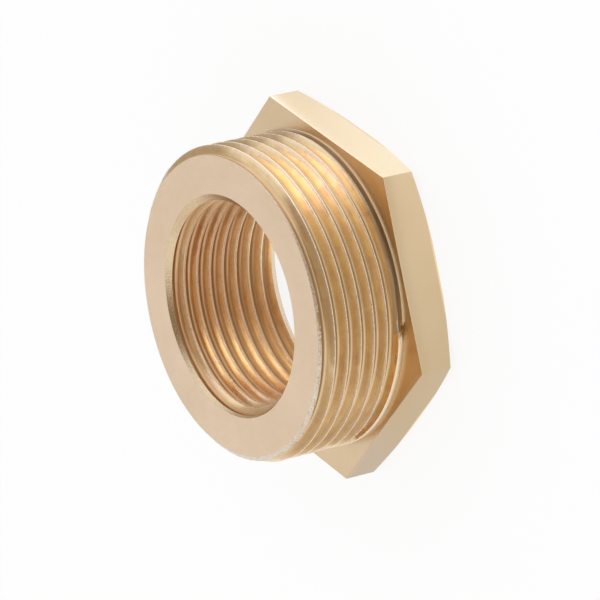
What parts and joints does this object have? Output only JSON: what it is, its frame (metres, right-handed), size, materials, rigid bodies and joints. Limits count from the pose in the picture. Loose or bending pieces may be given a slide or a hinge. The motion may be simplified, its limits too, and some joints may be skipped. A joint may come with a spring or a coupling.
{
  "type": "hex bushing",
  "caption": "Brass hex reducing bushing: short outside pipe thread on a thin hex head, with an inside pipe thread right through.",
  "frame": {"origin": "centre of the bore at the hex's outer face, which the bushing stands on", "axes": "+Z along the bore towards the outside thread's end face, +X through a hex corner"},
  "size_m": [0.0578, 0.05, 0.0205],
  "materials": {
    "turned_brass": "bright turned and cut thread, satin hex flats, matt sawn end face"
  },
  "bodies": {
    "root": {"bushing": "turned_brass"}
  },
  "joints": []
}
